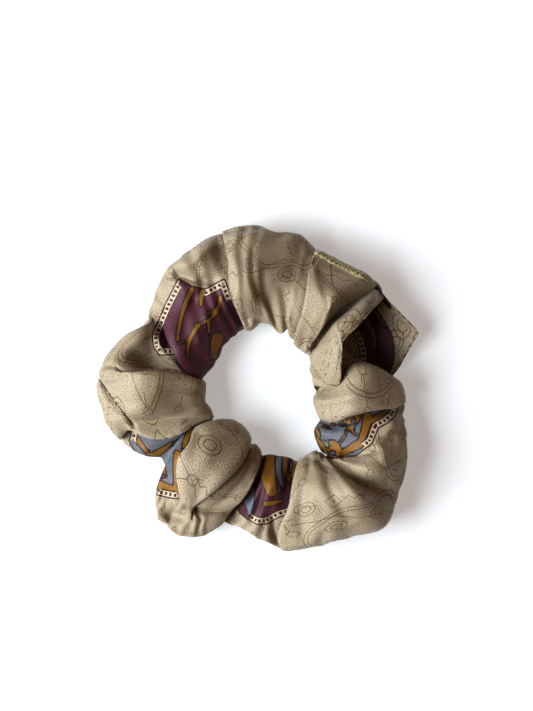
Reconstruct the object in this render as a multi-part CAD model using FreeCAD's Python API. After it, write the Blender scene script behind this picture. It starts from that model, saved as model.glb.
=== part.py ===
"""A scrunchie: a gathered silk sleeve over a sewn loop of braided elastic, lying on a table.

The sleeve is one tube of cloth, sewn along its length with the seam allowance inside. Its two ends meet at
the closure, at the ring's upper right, where the upper end flares open as a hemmed cuff and the lower end
is tucked into it. A short stretch of the long seam is closed from outside with edge stitches.

The ring stretches along X. The loop has no joint of its own, so sleeve and elastic are cut on the plane
X = 0 into a left and a right half that slide apart as the elastic is pulled. The bunched cloth fills the
sleeve, so its solids are full but for the channel that the elastic runs in, and the cuff is a thin shell.

Millimetres, +Z up, origin on the table under the middle of the footprint.
"""

import FreeCAD
import Part

import math
import os

# Sleeve
CUFF_WALL = 0.9  # the cuff's gathered cloth, which is several layers of 0.15 mm silk
CUFF_END = 400.0  # direction of the bottom of the cuff's hollow
PRESSED = 50.0  # degrees of each section's ellipse, at either side, between its widest line and the table
SECTION_POINTS = 13
SECTION_STEP = 9.0  # degrees from one section of the surface to the next, roughly
HALF_GAP = 0.15  # each half of the ring stands this far from the plane X = 0
CHANNEL_INNER, CHANNEL_OUTER = 26.2, 36.8  # radii about the elastic's centre
CHANNEL_LOW, CHANNEL_HIGH = 3.5, 14.0
ALLOWANCE_WIDTH = 3.0  # the long seam's allowance reaches this far into the channel from outside
ALLOWANCE_THICKNESS = 0.8
ALLOWANCE_TOP = 9.0  # height above the table

# Elastic: a flat braid that stands on its edge
ELASTIC_RADIUS = 30.0  # to the middle of the braid
ELASTIC_CENTRE = FreeCAD.Vector(2.2, -2.2, 0)
ELASTIC_WIDTH = 6.0
ELASTIC_THICKNESS = 1.2
ELASTIC_HEIGHT = 9.0  # height of the braid's middle above the table
JOIN_ANGLE = 20.0  # direction of the middle of the lapped join
JOIN_LAP = 14.0  # length of the lap
JOGGLE = 8.0  # degrees over which the outer end steps out round the inner one
LAP_GAP = 0.02  # between the two lapped ends

# Threads
THREAD_RADIUS = 0.2
STITCH_LENGTH = 2.2
STITCH_PITCH = 2.9
ZIGZAG_ROWS = (-4.5, 4.5)  # along the lap, from its middle
ZIGZAG_SWING = 0.8
ZIGZAG_STITCHES = 7
ZIGZAG_MARGIN = 0.6  # from the braid's edges
SEAM_LEFT = (97.0, 263.0)  # directions, about the elastic's centre, of the long seam's ends in each length
SEAM_LOWER = (-82.0, 28.0)
SEAM_UPPER = (46.0, 84.0)
HEM_STITCHES = 30
HEM_SETBACK = 2.5  # degrees from the cuff's edge

# Closing seam: the last opening of the tube, pinched and edge-stitched along the ring's outer edge
SEAM_FROM, SEAM_TO = 44.0, 66.0  # directions of its two ends
SEAM_STATIONS = 7
SEAM_LIP_WIDTH = 3.0
SEAM_LIP_ROOT = 2.5  # how far the lip reaches into the wall
SEAM_LIP_THICKNESS = 0.9
SEAM_HEIGHT = 15.0

TO_MIDDLE = FreeCAD.Vector(-0.09, 0.33, 0)  # from the ring's middle to the middle of its footprint

# Stations round the ring: direction in degrees counter-clockwise from +X, distance of the inner and of
# the outer edge from the ring's middle, height of the top and height of the underside. A large outer
# distance is a puff, a small one a waist. Lists that meet at the plane X = 0 run past it, and are cut there.
LEFT_HALF = [
    (84, 20.6, 54.4, 27.0, 0),
    (90, 20.6, 54.4, 27.0, 0),
    (103, 19.6, 55.0, 27.0, 0),
    (120, 19.2, 50.6, 25.0, 0),
    (150, 16.6, 42.6, 22.0, 0),
    (178, 17.7, 54.2, 27.0, 0),
    (200, 17.6, 50.8, 26.0, 0),
    (217, 15.9, 43.4, 22.0, 0),
    (238, 14.2, 56.8, 27.0, 0),
    (256, 15.8, 49.4, 24.0, 0),
    (270, 20.4, 52.2, 23.0, 0),
    (276, 20.4, 52.2, 23.0, 0),
]
LOWER_END = [
    (264, 20.4, 52.2, 23.0, 0),
    (270, 20.4, 52.2, 23.0, 0),
    (282, 23.4, 56.6, 25.0, 0),
    (308, 27.6, 62.0, 28.0, 0),
    (332, 23.8, 56.4, 26.0, 0),
    (352, 19.0, 48.9, 22.0, 0),
    (362, 19.6, 48.2, 21.0, 0),
    (376, 21.4, 47.0, 19.0, 1.8),
    (396, 24.0, 43.0, 16.0, 2.0),
]
UPPER_END = [
    (377, 18.0, 56.8, 26.0, 0),
    (398, 19.4, 55.4, 28.0, 0),
    (418, 23.2, 52.4, 25.0, 0),
    (434, 20.4, 52.6, 26.0, 0),
    (450, 20.6, 54.4, 27.0, 0),
    (456, 20.6, 54.4, 27.0, 0),
]


def polar(angle, radius, height=0.0):
    """The point at that direction, in degrees, and distance from the ring's middle."""
    turn = math.radians(angle)
    return FreeCAD.Vector(radius * math.cos(turn), radius * math.sin(turn), height)


def arch_point(station, turn):
    """A point of the station's section: 0 is its outermost, 90 its top and 180 its innermost."""
    angle, inner, outer, top, foot = station
    half_height = (top - foot) / (1 + math.sin(math.radians(PRESSED)))
    radius = (inner + outer) / 2 + (outer - inner) / 2 * math.cos(math.radians(turn))
    return polar(angle, radius, top - half_height * (1 - math.sin(math.radians(turn))))


def between(stations, angle):
    """The station at any direction, eased between the two nearest ones of the list."""
    for before, after in zip(stations, stations[1:]):
        if before[0] <= angle <= after[0]:
            share = (angle - before[0]) / (after[0] - before[0])
            eased = share * share * (3 - 2 * share)
            eased_values = [b + (a - b) * eased for b, a in zip(before[1:], after[1:])]
            return (angle, *eased_values)
    raise ValueError(f"no station covers direction {angle}")


def evenly_spaced(stations):
    """Stations at even steps of direction, from the first to the last of the list."""
    first, last = stations[0][0], stations[-1][0]
    count = max(3, round((last - first) / SECTION_STEP))
    return [between(stations, first + (last - first) * i / count) for i in range(count + 1)]


def solid_through(key_stations):
    """A smooth closed solid through all stations, flat underneath."""
    step = (180 + 2 * PRESSED) / (SECTION_POINTS - 1)
    turns = [-PRESSED + step * i for i in range(SECTION_POINTS)]
    stations = evenly_spaced(key_stations)
    arch = Part.BSplineSurface()
    arch.interpolate([[arch_point(station, turn) for turn in turns] for station in stations])
    u_first, u_last, v_first, v_last = arch.bounds()
    outer_foot = arch.vIso(v_first).toShape()
    inner_foot = arch.vIso(v_last).toShape()
    ends = [arch.uIso(u).toShape() for u in (u_first, u_last)]
    lines = [Part.makeLine(arch_point(s, turns[0]), arch_point(s, turns[-1])) for s in (stations[0], stations[-1])]
    faces = [arch.toShape()]
    faces += [Part.Face(Part.Wire([end, line])) for end, line in zip(ends, lines)]
    if len({station[4] for station in stations}) == 1:
        faces.append(Part.Face(Part.Wire(Part.__sortEdges__([outer_foot, inner_foot] + lines))))
    else:
        faces.append(Part.makeRuledSurface(outer_foot, inner_foot))
    joined = Part.makeCompound(faces)
    joined.sewShape()
    solid = Part.Solid(Part.Shell(joined.Faces))
    if solid.Volume < 0:
        solid.reverse()
    return solid


def ring(inner, outer, low, high):
    """A flat ring about the elastic's centre."""
    foot = ELASTIC_CENTRE + FreeCAD.Vector(0, 0, low)
    return Part.makeCylinder(outer, high - low, foot).cut(Part.makeCylinder(inner, high - low, foot))


def channel():
    """The space that the elastic runs in, with the seam allowance left standing in it."""
    low = ALLOWANCE_TOP - ALLOWANCE_THICKNESS
    allowance = ring(CHANNEL_OUTER - ALLOWANCE_WIDTH, CHANNEL_OUTER, low, ALLOWANCE_TOP)
    return ring(CHANNEL_INNER, CHANNEL_OUTER, CHANNEL_LOW, CHANNEL_HIGH).cut(allowance)


def cuff_hollow():
    """The space inside the cuff, from just outside its mouth to its bottom."""
    first = UPPER_END[0]
    stations = [(first[0] - 5, *first[1:])] + [between(UPPER_END, a) for a in (first[0] + 8, CUFF_END)]
    w = CUFF_WALL
    return solid_through([(a, inner + w, outer - w, top - w, foot + w) for a, inner, outer, top, foot in stations])


def half_space(side):
    """Everything on one side of the plane X = 0: side is -1 or 1."""
    size = 200.0
    low_x = HALF_GAP if side > 0 else -size - HALF_GAP
    return Part.makeBox(size, size, size, FreeCAD.Vector(low_x, -size / 2, 0))


def sleeve_part(stations, side):
    """A length of the filled sleeve, on one side of the plane X = 0."""
    return solid_through(stations).cut(channel()).common(half_space(side))


def edge_radius(station, height):
    """Distance from the ring's middle to the section's outer side at one height."""
    _, inner, outer, top, foot = station
    half_height = (top - foot) / (1 + math.sin(math.radians(PRESSED)))
    rise = (height - top) / half_height + 1
    return (inner + outer) / 2 + (outer - inner) / 2 * math.sqrt(1 - rise * rise)


def stitch(start, end):
    """One straight stitch between two points."""
    along = end - start
    return Part.makeCylinder(THREAD_RADIUS, along.Length, start, along)


def stitches_along(place, length):
    """Stitches along a path, given as a function of the distance along it."""
    made = []
    for i in range(int(length // STITCH_PITCH)):
        start = place(i * STITCH_PITCH)
        along = place(i * STITCH_PITCH + STITCH_LENGTH) - start
        along.normalize()
        made.append(stitch(start, start + along * STITCH_LENGTH))
    return made


def side_seam(first, last):
    """The stitches on the seam allowance between two directions about the elastic's centre."""
    radius = CHANNEL_OUTER - ALLOWANCE_WIDTH / 2
    height = ALLOWANCE_TOP + THREAD_RADIUS

    def place(distance):
        return ELASTIC_CENTRE + polar(first + math.degrees(distance / radius), radius, height)

    return stitches_along(place, math.radians(last - first) * radius)


def lip_root(angle):
    """Distance of the sleeve's surface from the ring's middle at the closing seam's height."""
    return edge_radius(between(UPPER_END, angle + 360.0), SEAM_HEIGHT)


def closing_lip():
    """The pinched lip of the closing seam, standing out from the upper end's outer edge."""
    half = SEAM_LIP_THICKNESS / 2
    wires = []
    for i in range(SEAM_STATIONS):
        angle = SEAM_FROM + (SEAM_TO - SEAM_FROM) * i / (SEAM_STATIONS - 1)
        near, far = lip_root(angle) - SEAM_LIP_ROOT, lip_root(angle) + SEAM_LIP_WIDTH
        corners = [polar(angle, r, SEAM_HEIGHT + z) for r, z in ((near, -half), (near, half), (far, half), (far, -half))]
        wires.append(Part.makePolygon(corners + corners[:1]))
    return Part.makeLoft(wires, True, True)


def closing_stitches():
    """The edge stitches on top of the closing seam's lip."""
    typical_radius = 52.0
    top = SEAM_HEIGHT + SEAM_LIP_THICKNESS / 2 + THREAD_RADIUS

    def place(distance):
        angle = min(SEAM_FROM + math.degrees(distance / typical_radius), SEAM_TO)
        return polar(angle, lip_root(angle) + 0.6 * SEAM_LIP_WIDTH, top)

    return stitches_along(place, math.radians(SEAM_TO - SEAM_FROM) * typical_radius)


def hem_stitches():
    """The hem stitches on the cuff, over the upper end's mouth."""
    station = between(UPPER_END, UPPER_END[0][0] + HEM_SETBACK)
    angle, inner, outer, top, foot = station
    proud = (angle, inner - THREAD_RADIUS, outer + THREAD_RADIUS, top + THREAD_RADIUS, foot)
    first, last = -20.0, 200.0
    step = (last - first) / HEM_STITCHES
    share = STITCH_LENGTH / STITCH_PITCH
    starts = [first + step * i for i in range(HEM_STITCHES)]
    return Part.makeCompound([stitch(arch_point(proud, t), arch_point(proud, t + step * share)) for t in starts])


def braid_outline(angle, radius):
    """The outline of the elastic's section at one direction."""
    foot = ELASTIC_CENTRE + FreeCAD.Vector(0, 0, ELASTIC_HEIGHT - ELASTIC_WIDTH / 2)
    rise = FreeCAD.Vector(0, 0, ELASTIC_WIDTH)
    inner = foot + polar(angle, radius - ELASTIC_THICKNESS / 2)
    outer = foot + polar(angle, radius + ELASTIC_THICKNESS / 2)
    return Part.makePolygon([inner, outer, outer + rise, inner + rise, inner])


def braid(first, last, radius):
    """A length of elastic standing on its edge, between two directions, at one radius."""
    face = Part.Face(braid_outline(first, radius))
    return face.revolve(ELASTIC_CENTRE, FreeCAD.Vector(0, 0, 1), last - first)


def elastic_left():
    """The half of the loop with no join in it."""
    return braid(60, 300, ELASTIC_RADIUS).common(half_space(-1))


def elastic_right():
    """The half of the loop whose two ends lap at the join, the lower end outside the upper one."""
    half_lap = math.degrees(JOIN_LAP / 2 / ELASTIC_RADIUS)
    first, last = JOIN_ANGLE - half_lap, JOIN_ANGLE + half_lap
    outside = ELASTIC_RADIUS + ELASTIC_THICKNESS + LAP_GAP
    upper = braid(first, 120, ELASTIC_RADIUS)
    lower = braid(-120, first - JOGGLE - 1, ELASTIC_RADIUS)
    lapped = braid(first - 1, last, outside)
    step = [braid_outline(first - JOGGLE - 1, ELASTIC_RADIUS), braid_outline(first - 1, outside)]
    joggle = Part.makeLoft(step, True, True)
    outer_end = lower.fuse([joggle, lapped])
    keep = half_space(1)
    return Part.makeCompound(upper.common(keep).Solids + outer_end.common(keep).Solids)


def zigzag(row, radius):
    """One zigzag row of the join, up the braid's width, on one face of the lap."""
    low = ELASTIC_HEIGHT - ELASTIC_WIDTH / 2 + ZIGZAG_MARGIN
    rise = ELASTIC_WIDTH - 2 * ZIGZAG_MARGIN
    points = []
    for i in range(ZIGZAG_STITCHES + 1):
        along = row + (ZIGZAG_SWING if i % 2 else -ZIGZAG_SWING)
        angle = JOIN_ANGLE + math.degrees(along / ELASTIC_RADIUS)
        points.append(ELASTIC_CENTRE + polar(angle, radius, low + rise * i / ZIGZAG_STITCHES))
    runs = [stitch(a, b) for a, b in zip(points, points[1:])]
    knuckles = [Part.makeSphere(THREAD_RADIUS, p) for p in points]
    return runs[0].fuse(runs[1:] + knuckles)


def join_thread():
    """Both zigzag rows of the elastic's join, on both faces of the lap."""
    inside = ELASTIC_RADIUS - ELASTIC_THICKNESS / 2 - THREAD_RADIUS
    outside = ELASTIC_RADIUS + ELASTIC_THICKNESS * 1.5 + LAP_GAP + THREAD_RADIUS
    return Part.makeCompound([zigzag(row, radius) for row in ZIGZAG_ROWS for radius in (inside, outside)])


def main():
    lower_end = sleeve_part(LOWER_END, 1)
    upper_end = sleeve_part(UPPER_END, 1).fuse(closing_lip()).cut(cuff_hollow())
    nodes = {
        "sleeve_left": sleeve_part(LEFT_HALF, -1),
        "sleeve_right": Part.makeCompound(lower_end.Solids + upper_end.Solids),
        "side_seam_thread_left": Part.makeCompound(side_seam(*SEAM_LEFT)),
        "side_seam_thread_right": Part.makeCompound(side_seam(*SEAM_LOWER) + side_seam(*SEAM_UPPER)),
        "closing_seam_thread": Part.makeCompound(closing_stitches()),
        "cuff_hem_thread": hem_stitches(),
        "elastic_left": elastic_left(),
        "elastic_right": elastic_right(),
        "elastic_join_thread": join_thread(),
    }
    os.makedirs("parts", exist_ok=True)
    for name, shape in nodes.items():
        shape.translate(TO_MIDDLE)
        shape.exportStep(f"parts/{name}.step")
        print(name, len(shape.Solids), "solids", round(shape.Volume, 1), "mm3", shape.isValid())


main()
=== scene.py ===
"""The looks of a gathered silk scrunchie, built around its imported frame.

The sleeve is one sheet of cloth, lofted through stations that follow the ring counter-clockwise from the
cuff's hem to the end that is tucked into the cuff. A station is a cross-section of the tube: the points of
its top, from the outer silhouette over the crown to the inner one. Where a puff laps over a recess, a
station is also a fold, and the cloth turns back under it.

Station values are millimetres from the middle of the ring's footprint, and heights above the table.
"""

import math

import bpy
import numpy as np
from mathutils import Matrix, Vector


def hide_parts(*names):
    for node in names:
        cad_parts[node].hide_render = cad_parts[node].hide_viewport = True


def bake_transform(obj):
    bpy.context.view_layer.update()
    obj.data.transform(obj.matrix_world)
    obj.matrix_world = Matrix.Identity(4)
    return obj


MM = 0.001
LENS, SENSOR = 130, 36  # mm: the lens, and the height of its picture
VIEW_MIDDLE, VIEW_HEIGHT, VIEW_LEVEL = (3.03, 10.78), 239.6, 12.0  # mm: what the camera sees, at this level

# The cloth's grid
TOP_POINTS = 66
UNDER_POINTS = 46
ALONG_STEP = 0.88  # mm from one row of the grid to the next, roughly
CUT_WIDTH, CUT_LENGTH = 95.0, 360.0  # the flat cloth, mm
CLOTH_THICKNESS = 0.0003  # m, a little more than silk's own, so that edges show
FLOOR_GAP = 0.35  # mm from the table to the middle of the cloth
GATHER = 0.28  # mm, the fine wrinkles that run across the ring
GATHER_SEED = 7
GATHER_WAVES = ((4.3, 2.0), (6.1, -3.1), (8.7, 4.4), (5.2, -1.3))  # length in mm, lean across the tube

# The simulation that adds wrinkles finer than those
SIM_SCALE = 0.02  # its metres for each mm
SIM_FRAMES = 14
SIM_EXCESS = 0.06  # how much too big the cloth is
SIM_HOLD = 0.04
SIM_CAP = 1.6  # mm
SIM_CLOTH = {
    "quality": 5, "mass": 0.15, "tension_stiffness": 20, "compression_stiffness": 20, "shear_stiffness": 8,
    "bending_stiffness": 0.3, "air_damping": 3, "shrink_min": -SIM_EXCESS, "shrink_max": -SIM_EXCESS,
}
WRINKLE_PASSES = 24
FAR = 50.0  # mm, outside every patch

# The closed edge on the cloth's grid, the side seam's first row there, and half the edge's width and height
EDGE_COLUMN, EDGE_ROWS = 9, 7
SEAM_START = 40
EDGE_WIDE, EDGE_THICK = 1.3, 0.45

# The elastic, in mm: pushed out and down at its bulge, in and down where it is dented by the cuff
ELASTIC_MIDDLE = (2.11, -1.87)
ELASTIC_RADIUS, ELASTIC_HIGH = 30.0, 7.3
ELASTIC_WIDE, ELASTIC_THICK, ELASTIC_LAP = 6.0, 1.2, 14.0
ELASTIC_JOIN = math.radians(20)
ELASTIC_BULGE_AT, ELASTIC_BULGE, ELASTIC_DIP, ELASTIC_DENT = math.radians(-52), 2.2, 0.8, 3.0
ELASTIC_STEPS, ELASTIC_SIDES = 420, 28


def colour(red, green, blue):
    """A colour as it shows on a screen, 0 to 255, made linear."""
    shown = (red, green, blue)
    return tuple(((c / 255 + 0.055) / 1.055) ** 2.4 if c > 10 else c / 255 / 12.92 for c in shown) + (1.0,)


BORDER, DOT_SPACING = 2.3, 1.65  # mm, the dotted border's width and its dots' spacing
CREAM = colour(152, 143, 125)
CREAM_WARM = colour(148, 134, 110)
DRAWING = colour(84, 52, 22)
PLUM_INK = colour(88, 44, 62)
STEEL_INK = colour(104, 112, 120)
GOLD_INK = colour(130, 92, 20)
# dark brown of the print's outlines and dots, and painted shade along folds and creases
DARK_INK_AND_SHADE = colour(44, 19, 16)
# painted shade: the black of marks in hollows and creases
PAINTED_SHADE_BLACK = colour(12, 8, 8)
BORDER_INK = colour(178, 163, 140)
HEM_CREAM = colour(170, 152, 118)
HEM_SHADE = colour(86, 60, 34)
EDGE_CREAM = colour(186, 176, 148)
EDGE_SHADE = colour(128, 112, 80)
THREAD = colour(206, 198, 160)
THREAD_GREEN = colour(176, 184, 128)
BRAID_SHADE = colour(170, 166, 156)
BRAID_WHITE = colour(222, 219, 210)

# How a fold turns back under a puff's edge: back along the ring, gap below the edge, both in mm, and how
# much of that happens at the ring's outer and inner sides
DEEP = (5.0, 4.0, 0.6, 0.6)
SOFT = (3.0, 2.5, 0.0, 0.7)
CREVICE = (1.6, 2.4, 0.3, 0.7)
INNER_ONLY = (3.0, 2.5, 0.0, 0.8)
MID_ONLY = (4.0, 4.0, 0.0, 0.35)
UPPER_ONLY = (5.0, 4.5, 0.0, 0.8)

# name: (fold, floor under it, points). A fold is "", or the lap and "before" or "after": where the puff is.
STATIONS = {
    "cuff_valley": ("", 0, [(40.5, 35, 11), (35, 30.5, 14.5), (29, 26, 14.5), (23.5, 21, 14), (20, 16, 13),
        (17.5, 10.5, 8)]),
    "cuff_crest": ("", 0, [(36.5, 38, 11), (30, 34, 23), (25.5, 28.5, 26), (22, 23, 25), (19, 17.5, 20),
        (16.5, 12, 8)]),
    "pleat_ridge": ("", 0, [(26, 43.5, 11), (20.5, 39, 22), (21.5, 32, 25), (23.5, 26, 25), (21.5, 20.5, 23),
        (17.5, 14.5, 17), (16, 11.5, 8)]),
    "c_edge": ((CREVICE, "before"), 0, [(20, 46.5, 11), (18, 39.5, 22), (16.5, 32, 23), (15, 24.5, 22),
        (13.5, 20, 19), (12.5, 15.5, 8)]),
    "b_crown": ("", 0, [(15.5, 50.5, 10), (13, 42.5, 19), (11, 34.5, 20), (10.5, 27, 19), (10.5, 20, 8)]),
    "a_valley": ("", 0, [(6.5, 52.5, 10), (3, 44.5, 23), (3, 36.5, 23.5), (4, 29, 19), (6, 23, 15.5),
        (8, 18.5, 8)]),
    "a_crown": ("", 0, [(-2.5, 54.5, 9), (-4, 46.5, 24), (-4, 38, 26), (-2, 29.5, 25), (-0.5, 25, 20),
        (1, 22, 8)]),
    "a_left": ("", 0, [(-7, 54, 9), (-8, 46.5, 24), (-7, 38, 26), (-6, 29.5, 25), (-4, 24, 20),
        (-2, 19.5, 8)]),
    "a_left_edge": ((DEEP, "before"), 0, [(-11.5, 52.5, 10), (-10.5, 46.5, 20), (-9.5, 41.5, 21),
        (-9.5, 36, 21.5), (-8, 29.5, 21), (-6, 24.5, 18), (-4, 19.5, 8)]),
    "j_start": ("", 0, [(-17.5, 49.5, 9), (-16.5, 43.5, 19), (-15, 37.5, 17), (-14, 32.5, 15.5),
        (-11.5, 26, 16), (-9, 21, 13), (-7.5, 18, 7)]),
    "j_middle": ("", 0, [(-26, 43.5, 8), (-24, 40, 20), (-21.5, 36, 18), (-20, 31, 15.5), (-16.5, 22, 17),
        (-13.5, 15.5, 14), (-11.5, 14, 7)]),
    "j_border": ("", 0, [(-31.5, 37.5, 8), (-30, 35.5, 17), (-27.5, 32.5, 16), (-24, 25.5, 16),
        (-20.5, 17.5, 17.5), (-17.5, 12, 15), (-14.5, 8.5, 7)]),
    "j_edge": ((INNER_ONLY, "before"), 0, [(-36, 26.5, 6), (-33, 22.5, 10), (-29, 17, 14), (-26, 11.5, 16),
        (-23.5, 7, 14.5), (-19.5, 3, 9)]),
    "j_under": ("", 0, [(-37, 23, 7), (-34.5, 17.5, 13), (-32, 12, 13), (-27, 7, 13), (-20, 2.5, 7)]),
    "hollow_right": ("", 0, [(-39.5, 21, 9), (-38, 18, 18), (-35.5, 13, 11), (-31.5, 8.5, 11),
        (-27, 6, 13.5), (-19.5, 2, 7)]),
    "hollow_floor": ("", 0, [(-46, 16, 9), (-43.5, 13.5, 20), (-39.5, 10.5, 12), (-33.5, 7, 10),
        (-27, 5.5, 13.5), (-19.5, 2, 7)]),
    "hollow_left": ("", 0, [(-51, 10, 9), (-47.5, 9.5, 21), (-42.5, 7.5, 18), (-35.5, 5.5, 11),
        (-28, 4.5, 13.5), (-18.5, 2, 7)]),
    "l_top_edge": ((UPPER_ONLY, "after"), 0, [(-53, 5, 10), (-48.5, 5.5, 23), (-41, 5, 23), (-32, 5, 21),
        (-24.5, 4, 18.5), (-18, 1.5, 9)]),
    "l_crown": ("", 0, [(-54, 0, 11), (-47, 0, 21), (-38, -1.5, 24), (-27, -2.5, 20.5), (-17.5, -4, 9)]),
    "l_low": ("", 0, [(-52.5, -6.5, 11), (-47, -7.5, 20.5), (-39.5, -8.5, 23.5), (-31, -8.5, 21),
        (-22.5, -7, 18), (-16.5, -6.5, 9)]),
    "l_pocket": ("", 0, [(-50.5, -12.5, 10), (-45.5, -11.5, 19), (-39, -11.5, 17.5), (-31, -10.5, 16.5),
        (-22.5, -10, 17), (-15.8, -8.5, 9)]),
    "l_lip_edge": ((DEEP, "before"), 0, [(-46.5, -17.5, 8), (-43, -14, 15), (-40.5, -15, 18),
        (-37, -16.5, 19), (-33, -17, 19), (-28.5, -16.5, 19), (-24.5, -14.5, 19), (-21.5, -12.5, 18),
        (-15, -10, 9)]),
    "k_upper": ("", 0, [(-37.5, -23, 7), (-34.5, -20.5, 12), (-32, -19.5, 13), (-27.5, -17, 13),
        (-23.5, -14.5, 12), (-14.5, -11.5, 7)]),
    "k_valley": ("", 0, [(-32.5, -24, 6), (-30.5, -22, 11), (-27, -18.5, 13.5), (-23, -15.5, 13.5),
        (-14.5, -11.5, 7)]),
    "k_strip": ("", 0, [(-34, -37, 8), (-32, -31, 14), (-29.5, -26, 15), (-26, -20, 14), (-22.5, -15, 13),
        (-14, -11.5, 7)]),
    "i_left_edge": ((MID_ONLY, "after"), 0, [(-33.5, -44.5, 8), (-28.5, -41.5, 12), (-26, -37, 19),
        (-26, -30.5, 22), (-25.5, -24, 23), (-22, -19, 22), (-20.5, -14.5, 20), (-12.5, -11.5, 9)]),
    "i_crown": ("", 0, [(-27, -49.5, 8), (-25, -44.5, 14), (-23, -40, 19), (-19.5, -31, 25),
        (-14.5, -22.5, 27), (-9.5, -16, 24), (-5.5, -12.5, 9)]),
    "i_right_edge": ((SOFT, "before"), 0, [(-21.5, -50.5, 8), (-22, -45.5, 14), (-21.5, -40, 17),
        (-17.5, -36, 21), (-11.5, -31, 22.5), (-5.5, -24.5, 21.5), (-3, -18, 10)]),
    "i_second": ("", 0, [(-17.5, -49.5, 8), (-17, -45.5, 13.5), (-14.5, -40.5, 14), (-10, -36, 15.5),
        (-5, -30.5, 16.5), (-2, -24.5, 15.5), (-0.5, -19.5, 9)]),
    "i_second_edge": ((DEEP, "before"), 0, [(-12, -45.5, 8), (-10, -43, 11), (-7, -39.5, 15),
        (-3.5, -35, 16), (-1, -30, 16), (0.5, -26, 14), (1, -22.5, 9)]),
    "h_left": ("", 0, [(-5.5, -47.5, 7), (-3, -44, 12), (-0.5, -38, 15), (2, -31, 16), (3, -26.5, 13),
        (4, -23, 7)]),
    "h_right": ("", 0, [(1.5, -51.5, 7), (3.5, -44.5, 12), (6, -38, 15), (8, -31, 16), (9.5, -27, 13),
        (10.5, -24, 7)]),
    "g_left_edge": ((DEEP, "after"), 0, [(8.5, -55, 9), (7, -51.5, 13), (8, -46.5, 16), (10.5, -40.5, 17.5),
        (11.5, -34.5, 19), (12.5, -29.5, 18), (14, -25, 9)]),
    "g_left": ("", 0, [(14.5, -54.5, 9), (13.5, -46.5, 19), (14.5, -39.5, 21.5), (15.5, -33, 22.5),
        (16.5, -28, 20), (16.5, -23, 9)]),
    "g_middle": ("", 0, [(22.5, -52.5, 10), (22.5, -44.5, 23.5), (22, -37, 25.5), (21, -30.5, 25),
        (20, -25.5, 19), (19.5, -21.5, 9)]),
    "g_crown": ("", 0, [(32, -50, 10), (30, -43, 24.5), (28, -36, 27), (25, -30.5, 24), (22.5, -26, 18),
        (20.5, -22, 8)]),
    "g_lower_right": ("", 0, [(43, -46.5, 10), (39, -40.5, 24), (34.5, -35, 26.5), (29.5, -30, 23),
        (25.5, -26, 17), (22, -22.5, 8)]),
    "g_crease": ("", 0, [(46.5, -37, 10), (44, -35.5, 17), (38, -33, 18), (32, -31, 18), (27, -28, 17),
        (22.5, -23.5, 8)]),
    "g_ridge": ("", 0, [(49.5, -28, 10), (45.5, -28, 21), (39.5, -28, 24), (34, -26.5, 23), (28.5, -25, 19),
        (23.5, -23.5, 8)]),
    "g_upper": ("", 0, [(50, -17.5, 10), (46.5, -19.5, 20), (41.5, -21, 22), (36, -22.5, 20),
        (29.5, -24, 16), (23.5, -22.5, 8)]),
    "e_lower": ("", 0, [(49.5, -12.5, 9), (44.5, -14.5, 18.5), (38.5, -17.5, 18.5), (32, -21, 15.5),
        (27, -22.5, 12), (21.5, -21, 7)]),
    "e_upper": ("", 0, [(49, -9.5, 8), (44, -10, 15.5), (37, -12.5, 16.5), (29.5, -16.5, 16),
        (24, -17.5, 14), (19.5, -15, 7)]),
    "d_edge": ((DEEP, "after"), 0, [(49.5, -5, 11), (46.5, -6.5, 17), (41.5, -7, 19), (36, -8, 20),
        (30.5, -9.5, 20), (25.5, -11.5, 18), (21, -10.5, 9)]),
    "d_crown": ("", 1, [(49.5, -2, 10), (44.5, -1.5, 19), (38, -1.5, 22.5), (31, -3, 24), (25.5, -4.5, 21),
        (19, -4.5, 9)]),
    "d_top": ("", 2.5, [(47.5, 2, 9), (43, 5, 17), (37, 7, 20), (31, 6.5, 19), (26, 2, 15),
        (20.5, -1.5, 7)]),
    "tuck_first": ("", 2.5, [(42.5, 5.5, 6), (39.5, 7, 10), (35, 8.5, 12.5), (30.5, 8, 14), (26.5, 5, 14.5),
        (21.5, 0.5, 6)]),
    "tuck_middle": ("", 2.5, [(34, 8.5, 4), (32, 9.5, 8), (29.5, 10.5, 11), (27, 10, 12), (24.5, 8, 12),
        (22, 4.5, 5)]),
    "tuck_end": ("", 2.5, [(29.5, 14, 4), (28, 14.5, 7), (27, 14.5, 8), (25.5, 14, 7), (24, 12, 4)]),
}

# The cuff's two rings, whose lower lip runs further out than the upper one: (top, underside), both from the
# end that starts it
CUFF_HEM = (
    [(42.5, 30.5, 12), (38.5, 26.5, 20), (32.5, 20, 24), (29.2, 16.8, 25), (28.1, 15.3, 25.3),
        (28.1, 12.5, 25), (27.8, 8, 24), (27, 1, 18), (23.5, -0.5, 12), (19, 1, 8)],
    [(19, 1, 8), (21.5, -3, 2), (31, -4, 0.7), (41.5, 0, 0.7), (47.5, 6, 1.5), (50.5, 11.5, 5),
        (53.2, 16.6, 8), (54.2, 18.7, 9.2), (52.8, 20.2, 10), (50, 23, 11), (45.5, 27.5, 12),
        (42.5, 30.5, 12)],
)
CUFF_NECK = (
    [(41.5, 32.5, 12), (36.5, 29.5, 21), (31, 24.5, 24), (26, 19.5, 24.5), (24, 12.5, 22), (21.5, 6.5, 17),
        (18, 5, 9)],
    [(18, 5, 9), (22.5, 2.5, 2), (33, 4, 0.7), (42.5, 11, 1), (47.5, 17.5, 5), (47, 23.5, 9),
        (44.5, 28.5, 11), (41.5, 32.5, 12)],
)


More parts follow.
